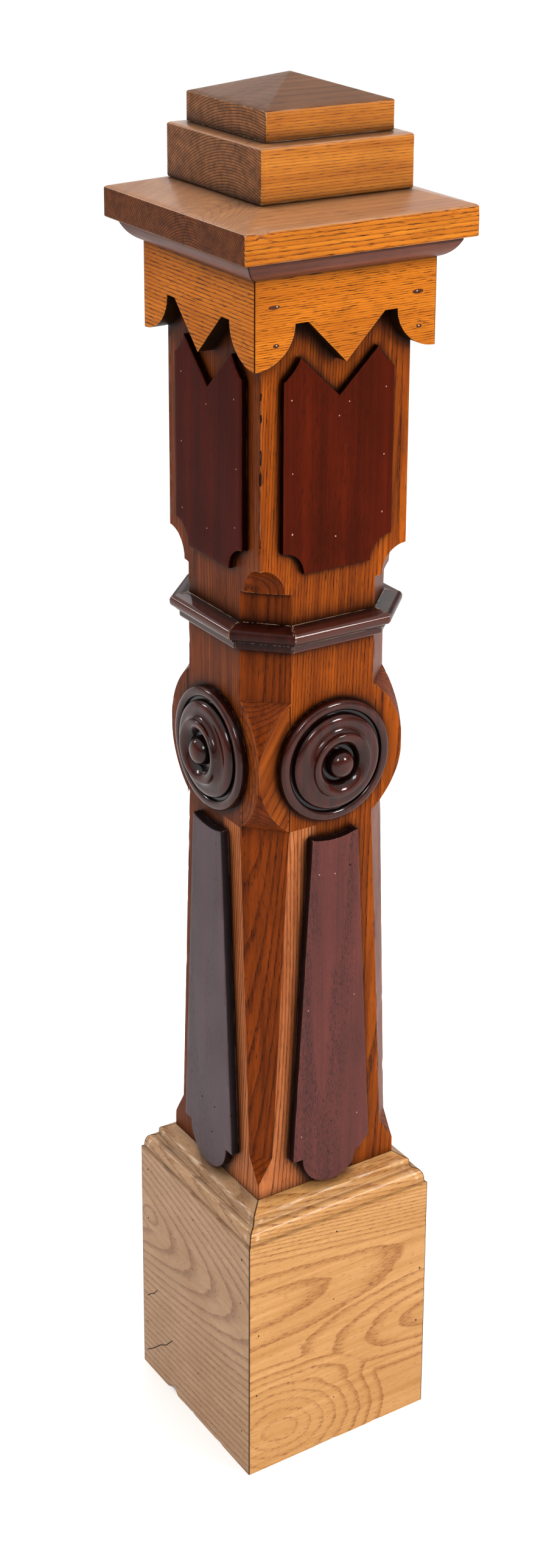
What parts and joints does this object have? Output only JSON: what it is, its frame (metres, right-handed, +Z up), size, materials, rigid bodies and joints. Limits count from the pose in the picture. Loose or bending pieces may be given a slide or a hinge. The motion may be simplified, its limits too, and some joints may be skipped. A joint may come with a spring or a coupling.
{
  "type": "newel post",
  "caption": "Square built-up wooden newel post with a stepped cap, scalloped valance, applied panels, turned rosettes, neck collar and boxed plinth.",
  "frame": {"origin": "centre of the post's underside, on the floor", "axes": "+Z up along the shaft, -Y out of the front face, -X out of the left face"},
  "size_m": [0.215, 0.215, 1.2186],
  "materials": {
    "stained_oak": "golden brown stained oak under worn satin varnish",
    "cap_oak": "yellow brown oak with dark open pores, satin varnish",
    "pale_oak": "light honey oak with bold cathedral grain, thin satin finish",
    "panel_mahogany": "red brown mahogany, satin, with filled nail spots",
    "polished_mahogany": "dark mahogany, high gloss french polish"
  },
  "bodies": {
    "root": {"shaft": "stained_oak", "cap_slab": "cap_oak", "middle_cap_block": "cap_oak", "finial_block": "cap_oak", "plinth_board_front": "pale_oak", "plinth_board_right": "pale_oak", "plinth_board_back": "pale_oak", "plinth_board_left": "pale_oak", "lower_panel_front": "panel_mahogany", "lower_panel_right": "panel_mahogany", "lower_panel_back": "panel_mahogany", "lower_panel_left": "panel_mahogany", "rosette_front": "polished_mahogany", "rosette_right": "polished_mahogany", "rosette_back": "polished_mahogany", "rosette_left": "polished_mahogany", "collar_front": "polished_mahogany", "collar_right": "polished_mahogany", "collar_back": "polished_mahogany", "collar_left": "polished_mahogany", "collar_front_right": "polished_mahogany", "collar_back_right": "polished_mahogany", "collar_back_left": "polished_mahogany", "collar_front_left": "polished_mahogany", "upper_panel_front": "panel_mahogany", "upper_panel_right": "panel_mahogany", "upper_panel_back": "panel_mahogany", "upper_panel_left": "panel_mahogany", "valance_front": "cap_oak", "valance_right": "cap_oak", "valance_back": "cap_oak", "valance_left": "cap_oak", "bed_moulding_front": "polished_mahogany", "bed_moulding_right": "polished_mahogany", "bed_moulding_back": "polished_mahogany", "bed_moulding_left": "polished_mahogany"}
  },
  "joints": []
}
